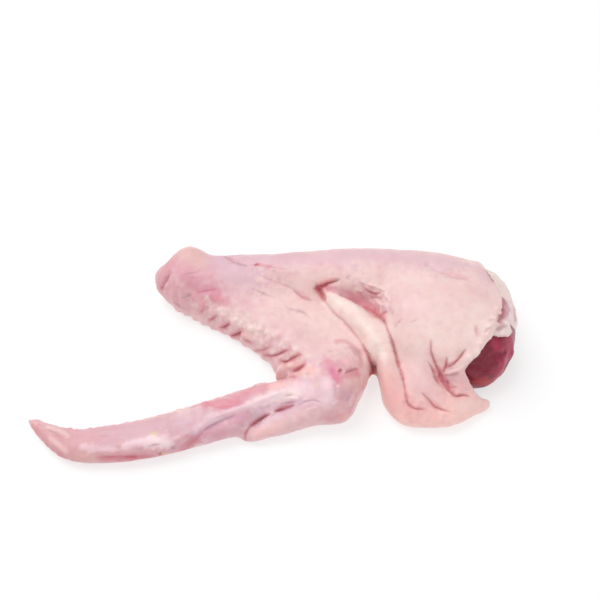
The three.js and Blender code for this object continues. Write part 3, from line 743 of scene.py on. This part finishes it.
def make_membrane(cut_edge):
    made = refined("silverskin", "membrane", voxel=0.45, rounds=3, levels=0)
    surface = Surface(made.data)
    # The membrane goes in under the skin's cut edge
    shift_near(surface, cut_edge, 1.9, (-2.2, 0.5, -0.1))
    surface.points += surface.normals * (waves(surface.points, 3.6, 2, 61.0) * 0.35)[:, None]
    hem = surface.drawn(MEMBRANE_HEM)
    which, aside, _ = surface.near(hem, 1.4)
    drawn_in = waves(surface.points[which], 1.7, 2, 65.0) * np.exp(-(aside**2)) * 1.2
    surface.points[which] += drawn_in[:, None] * np.array([0.3, 0.95, 0.0])
    shift_near(surface, hem, 2.0, (-0.8, 0.2, -0.6))
    # The hem's far end goes in behind the muscle, and its middle hangs lower
    shift_near(surface, surface.drawn(HEM_END), 3.0, (-2.0, 0.1, 0.0))
    shift_near(surface, surface.drawn(HEM_MIDDLE), 1.7, (0.4, -1.6, -0.5))
    surface.look()
    surface = refine_near(surface, [MEMBRANE_WEDGE], 4.0)
    surface.make_ragged()
    colours = np.tile(np.array(MEMBRANE_PALE), (len(surface.points), 1))
    paint(surface, colours, [(506, 303), (507, 311), (505, 318)], MEMBRANE_MAUVE, 1.5, 0.75)
    paint(surface, colours, MEMBRANE_WEDGE, MEMBRANE_RED, 1.1, 0.9)
    paint(surface, colours, [(514, 308), (515, 320)], MEMBRANE_MAUVE, 0.9, 0.7)
    paint(surface, colours, [(505, 322), (511, 319), (512, 327)], FAT_WHITE_AND_HIGHLIGHT, 1.3, 0.6)
    paint(surface, colours, [(501, 327), (506, 326)], SHADE, 1.0, 0.35)
    paint(surface, colours, [(498, 330), (504, 326)], SHADE, 0.6, 0.6)
    store_colours(made.data, colours)
    return made


# Materials

def node_of(tree, kind, **values):
    made = tree.nodes.new(kind)
    for name, value in values.items():
        setattr(made, name, value)
    return made


def group_of(name, takes, gives):
    """A node group with the named input and output sockets, and its two end nodes."""
    group = bpy.data.node_groups.new(name, "ShaderNodeTree")
    for label, kind, value in takes:
        socket = group.interface.new_socket(label, in_out="INPUT", socket_type=kind)
        if value is not None:
            socket.default_value = value
    for label, kind in gives:
        group.interface.new_socket(label, in_out="OUTPUT", socket_type=kind)
    return group, group.nodes.new("NodeGroupInput"), group.nodes.new("NodeGroupOutput")


def mottling_group():
    """Blotches of lighter and darker colour at two sizes."""
    group, takes, gives = group_of(
        "mottling",
        [
            ("Color", "NodeSocketColor", None),
            ("Blotch", "NodeSocketColor", None),
            ("Amount", "NodeSocketFloat", 0.3),
            ("Size", "NodeSocketFloat", 90.0),
        ],
        [("Color", "NodeSocketColor")],
    )
    link = group.links.new
    place = node_of(group, "ShaderNodeTexCoord")
    last = takes.outputs["Color"]
    for factor, detail in ((1.0, 5.0), (4.5, 3.0)):
        scale = node_of(group, "ShaderNodeMath", operation="MULTIPLY")
        scale.inputs[1].default_value = factor
        link(takes.outputs["Size"], scale.inputs[0])
        cloud = node_of(group, "ShaderNodeTexNoise")
        cloud.inputs["Detail"].default_value = detail
        link(place.outputs["Object"], cloud.inputs["Vector"])
        link(scale.outputs[0], cloud.inputs["Scale"])
        contrast = node_of(group, "ShaderNodeMapRange")
        contrast.inputs["From Min"].default_value = 0.42
        contrast.inputs["From Max"].default_value = 0.68
        link(cloud.outputs["Fac"], contrast.inputs["Value"])
        share = node_of(group, "ShaderNodeMath", operation="MULTIPLY")
        link(contrast.outputs["Result"], share.inputs[0])
        link(takes.outputs["Amount"], share.inputs[1])
        mix = node_of(group, "ShaderNodeMix", data_type="RGBA")
        link(share.outputs[0], mix.inputs["Factor"])
        link(last, mix.inputs["A"])
        link(takes.outputs["Blotch"], mix.inputs["B"])
        last = mix.outputs["Result"]
    link(last, gives.inputs["Color"])
    return group


def pores_group():
    """The height of fine wrinkles and pores."""
    group, takes, gives = group_of(
        "pores",
        [("Pore size", "NodeSocketFloat", 900.0), ("Wrinkle size", "NodeSocketFloat", 260.0)],
        [("Height", "NodeSocketFloat")],
    )
    link = group.links.new
    place = node_of(group, "ShaderNodeTexCoord")
    wrinkle = node_of(group, "ShaderNodeTexNoise")
    wrinkle.inputs["Detail"].default_value = 6.0
    wrinkle.inputs["Roughness"].default_value = 0.6
    wrinkle.inputs["Distortion"].default_value = 0.6
    link(place.outputs["Object"], wrinkle.inputs["Vector"])
    link(takes.outputs["Wrinkle size"], wrinkle.inputs["Scale"])
    pore = node_of(group, "ShaderNodeTexVoronoi", feature="SMOOTH_F1")
    link(place.outputs["Object"], pore.inputs["Vector"])
    link(takes.outputs["Pore size"], pore.inputs["Scale"])
    weigh = node_of(group, "ShaderNodeMath", operation="MULTIPLY")
    weigh.inputs[1].default_value = 0.35
    link(pore.outputs["Distance"], weigh.inputs[0])
    add = node_of(group, "ShaderNodeMath", operation="ADD")
    link(wrinkle.outputs["Fac"], add.inputs[0])
    link(weigh.outputs[0], add.inputs[1])
    link(add.outputs[0], gives.inputs["Height"])
    return group


def moisture_group():
    """Roughness that is lower in wet patches."""
    group, takes, gives = group_of(
        "moisture",
        [
            ("Wet", "NodeSocketFloat", 0.3),
            ("Dry", "NodeSocketFloat", 0.55),
            ("Size", "NodeSocketFloat", 120.0),
        ],
        [("Roughness", "NodeSocketFloat")],
    )
    link = group.links.new
    place = node_of(group, "ShaderNodeTexCoord")
    cloud = node_of(group, "ShaderNodeTexNoise")
    cloud.inputs["Detail"].default_value = 4.0
    link(place.outputs["Object"], cloud.inputs["Vector"])
    link(takes.outputs["Size"], cloud.inputs["Scale"])
    spread = node_of(group, "ShaderNodeMapRange")
    spread.inputs["From Min"].default_value = 0.35
    spread.inputs["From Max"].default_value = 0.65
    link(cloud.outputs["Fac"], spread.inputs["Value"])
    link(takes.outputs["Wet"], spread.inputs["To Min"])
    link(takes.outputs["Dry"], spread.inputs["To Max"])
    link(spread.outputs["Result"], gives.inputs["Roughness"])
    return group


mottling = mottling_group()
pores = pores_group()
moisture = moisture_group()


def flesh_material(name, blotch, amount, size, wet, dry, bump, pore_size, wrinkle_size, subsurface, radius):
    material = bpy.data.materials.new(name)
    material.use_nodes = True
    tree = material.node_tree
    link = tree.links.new
    shader = tree.nodes["Principled BSDF"]
    tint = node_of(tree, "ShaderNodeAttribute", attribute_name="tint")
    spots = node_of(tree, "ShaderNodeGroup", node_tree=mottling)
    spots.inputs["Blotch"].default_value = (*blotch, 1.0)
    spots.inputs["Amount"].default_value = amount
    spots.inputs["Size"].default_value = size
    link(tint.outputs["Color"], spots.inputs["Color"])
    link(spots.outputs["Color"], shader.inputs["Base Color"])
    wetness = node_of(tree, "ShaderNodeGroup", node_tree=moisture)
    wetness.inputs["Wet"].default_value = wet
    wetness.inputs["Dry"].default_value = dry
    link(wetness.outputs["Roughness"], shader.inputs["Roughness"])
    relief = node_of(tree, "ShaderNodeGroup", node_tree=pores)
    relief.inputs["Pore size"].default_value = pore_size
    relief.inputs["Wrinkle size"].default_value = wrinkle_size
    grain = node_of(tree, "ShaderNodeBump")
    grain.inputs["Strength"].default_value = bump
    grain.inputs["Distance"].default_value = 0.3 * MM
    link(relief.outputs["Height"], grain.inputs["Height"])
    link(grain.outputs["Normal"], shader.inputs["Normal"])
    shader.inputs["Subsurface Weight"].default_value = subsurface
    shader.inputs["Subsurface Radius"].default_value = radius
    shader.inputs["Subsurface Scale"].default_value = 1.0 * MM
    shader.inputs["Specular IOR Level"].default_value = 0.4
    return material


def dress():
    skin, cut_edge = make_skin()
    skin.data.materials.append(
        flesh_material(
            "raw_skin", SKIN_ROSE, 0.16, 75.0, 0.36, 0.55, 0.35, 1100.0, 320.0, 0.35, (1.8, 0.7, 0.5)
        )
    )
    muscle = make_muscle()
    muscle.data.materials.append(
        flesh_material(
            "raw_muscle", MEAT_LIGHT, 0.16, 110.0, 0.24, 0.4, 0.2, 900.0, 420.0, 0.15, (1.2, 0.3, 0.3)
        )
    )
    membrane = make_membrane(cut_edge)
    membrane.data.materials.append(
        flesh_material(
            "silverskin", MEMBRANE_MAUVE, 0.12, 110.0, 0.25, 0.45, 0.25, 900.0, 300.0, 0.3, (1.2, 0.6, 0.5)
        )
    )
    for piece, node, slot in (
        (skin, "skin", "skin"),
        (muscle, "shoulder_muscle", "muscle"),
        (membrane, "silverskin", "membrane"),
    ):
        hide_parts(node)
        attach(piece, "root")


dress()


# The floor and the light

def make_floor():
    shape = bmesh.new()
    bmesh.ops.create_grid(shape, x_segments=1, y_segments=1, size=2.5)
    mesh = bpy.data.meshes.new("floor")
    shape.to_mesh(mesh)
    shape.free()
    floor = bpy.data.objects.new("floor", mesh)
    scene.collection.objects.link(floor)
    material = bpy.data.materials.new("floor_white")
    material.use_nodes = True
    shader = material.node_tree.nodes["Principled BSDF"]
    shader.inputs["Base Color"].default_value = (0.42, 0.42, 0.42, 1)
    shader.inputs["Emission Color"].default_value = (1, 1, 1, 1)
    shader.inputs["Emission Strength"].default_value = 0.58
    shader.inputs["Roughness"].default_value = 0.9
    shader.inputs["Specular IOR Level"].default_value = 0.1
    mesh.materials.append(material)


def area_light(name, place, size, power):
    lamp = bpy.data.lights.new(name, "AREA")
    lamp.size = size
    lamp.energy = power
    holder = bpy.data.objects.new(name, lamp)
    holder.location = place
    holder.rotation_euler = (-Vector(place)).to_track_quat("-Z", "Y").to_euler()
    scene.collection.objects.link(holder)


def make_light():
    make_floor()
    world = bpy.data.worlds.new("studio")
    world.use_nodes = True
    backdrop = world.node_tree.nodes["Background"]
    backdrop.inputs["Color"].default_value = (1, 1, 1, 1)
    backdrop.inputs["Strength"].default_value = 0.62
    scene.world = world
    area_light("key", (-0.35, 0.25, 0.75), 0.7, 4.0)
    area_light("fill", (0.4, -0.5, 0.6), 0.8, 1.2)
    scene.view_settings.view_transform = "Standard"


make_light()
